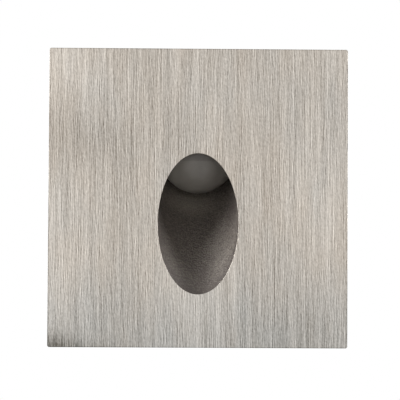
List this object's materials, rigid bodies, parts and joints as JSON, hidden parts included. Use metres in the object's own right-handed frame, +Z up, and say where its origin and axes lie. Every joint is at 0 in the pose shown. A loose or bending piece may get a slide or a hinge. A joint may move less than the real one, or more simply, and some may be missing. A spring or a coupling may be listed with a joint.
{
  "type": "recessed deck light",
  "caption": "Square brushed steel face plate with an oval mouth over a sloping light channel, a dome lens, a sealed round housing behind it and sprung clip arms that hold it in a wall.",
  "frame": {"origin": "middle of the wall's surface, on the rear face of the wall gasket", "axes": "+Y goes into the wall, +Z is up, +X is to the right as seen from in front of the face"},
  "size_m": [0.075, 0.0715, 0.075],
  "materials": {
    "brushed_stainless": "fine vertical brush lines",
    "cast_anthracite": "fine powder coat, satin",
    "frosted_glass": "satin frosted",
    "gasket_foam": "closed-cell foam, matte",
    "seal_rubber": "moulded rubber, matte",
    "plated_steel": "bright zinc plate",
    "spring_steel": "drawn stainless",
    "bare_aluminium": "machined",
    "pad_silicone": "soft filled silicone",
    "mask_white": "white solder mask",
    "mask_green": "green solder mask",
    "led_ceramic": "bare ceramic",
    "led_silicone": "clear silicone over phosphor",
    "insulation_red": "wire insulation",
    "insulation_black": "wire insulation",
    "ferrite": "pressed ferrite",
    "capacitor_can": "drawn can",
    "chip_epoxy": "moulded epoxy",
    "block_green": "moulded",
    "cover_plastic": "moulded, fine texture",
    "gland_plastic": "moulded nylon, satin"
  },
  "bodies": {
    "housing": {"faceplate": "brushed_stainless", "faceplate_studs": "plated_steel", "stud_washers": "plated_steel", "stud_nuts": "plated_steel", "wall_gasket": "gasket_foam", "housing": "cast_anthracite", "lens_dome": "frosted_glass", "lens_seal": "seal_rubber", "led_carrier": "bare_aluminium", "carrier_screws": "plated_steel", "thermal_pad": "pad_silicone", "led_board": "mask_white", "led_base": "led_ceramic", "led_lens": "led_silicone", "led_lead_positive": "insulation_red", "led_lead_negative": "insulation_black", "driver_board": "mask_green", "driver_board_screws": "plated_steel", "driver_inductor": "ferrite", "driver_capacitor": "capacitor_can", "driver_chip": "chip_epoxy", "driver_resistors": "chip_epoxy", "terminal_block": "block_green", "terminal_screws": "plated_steel", "rear_cover": "cover_plastic", "cover_gasket": "seal_rubber", "cover_screws": "plated_steel", "gland_body": "gland_plastic", "gland_washer": "seal_rubber", "gland_seal": "seal_rubber", "gland_nut": "gland_plastic", "gland_locknut": "gland_plastic", "left_clip_pin": "plated_steel", "left_pin_ring": "spring_steel", "left_clip_spring": "spring_steel", "right_clip_pin": "plated_steel", "right_pin_ring": "spring_steel", "right_clip_spring": "spring_steel"},
    "left_arm": {"left_clip_arm": "spring_steel", "left_arm_tip": "seal_rubber"},
    "right_arm": {"right_clip_arm": "spring_steel", "right_arm_tip": "seal_rubber"}
  },
  "joints": [
    {"name": "left_clip_swing", "type": "hinge", "parent": "housing", "child": "left_arm", "pos_m": [-0.02477, 0.034, 0], "axis": [0, 0, -1], "range_deg": [0, 178], "stiffness_Nm_per_rad": 0.0166, "springref_deg": -20.05, "deforming": ["left_clip_spring"]},
    {"name": "right_clip_swing", "type": "hinge", "parent": "housing", "child": "right_arm", "pos_m": [0.02477, 0.034, 0], "axis": [0, 0, 1], "range_deg": [0, 178], "stiffness_Nm_per_rad": 0.0166, "springref_deg": -20.05, "deforming": ["right_clip_spring"]}
  ]
}
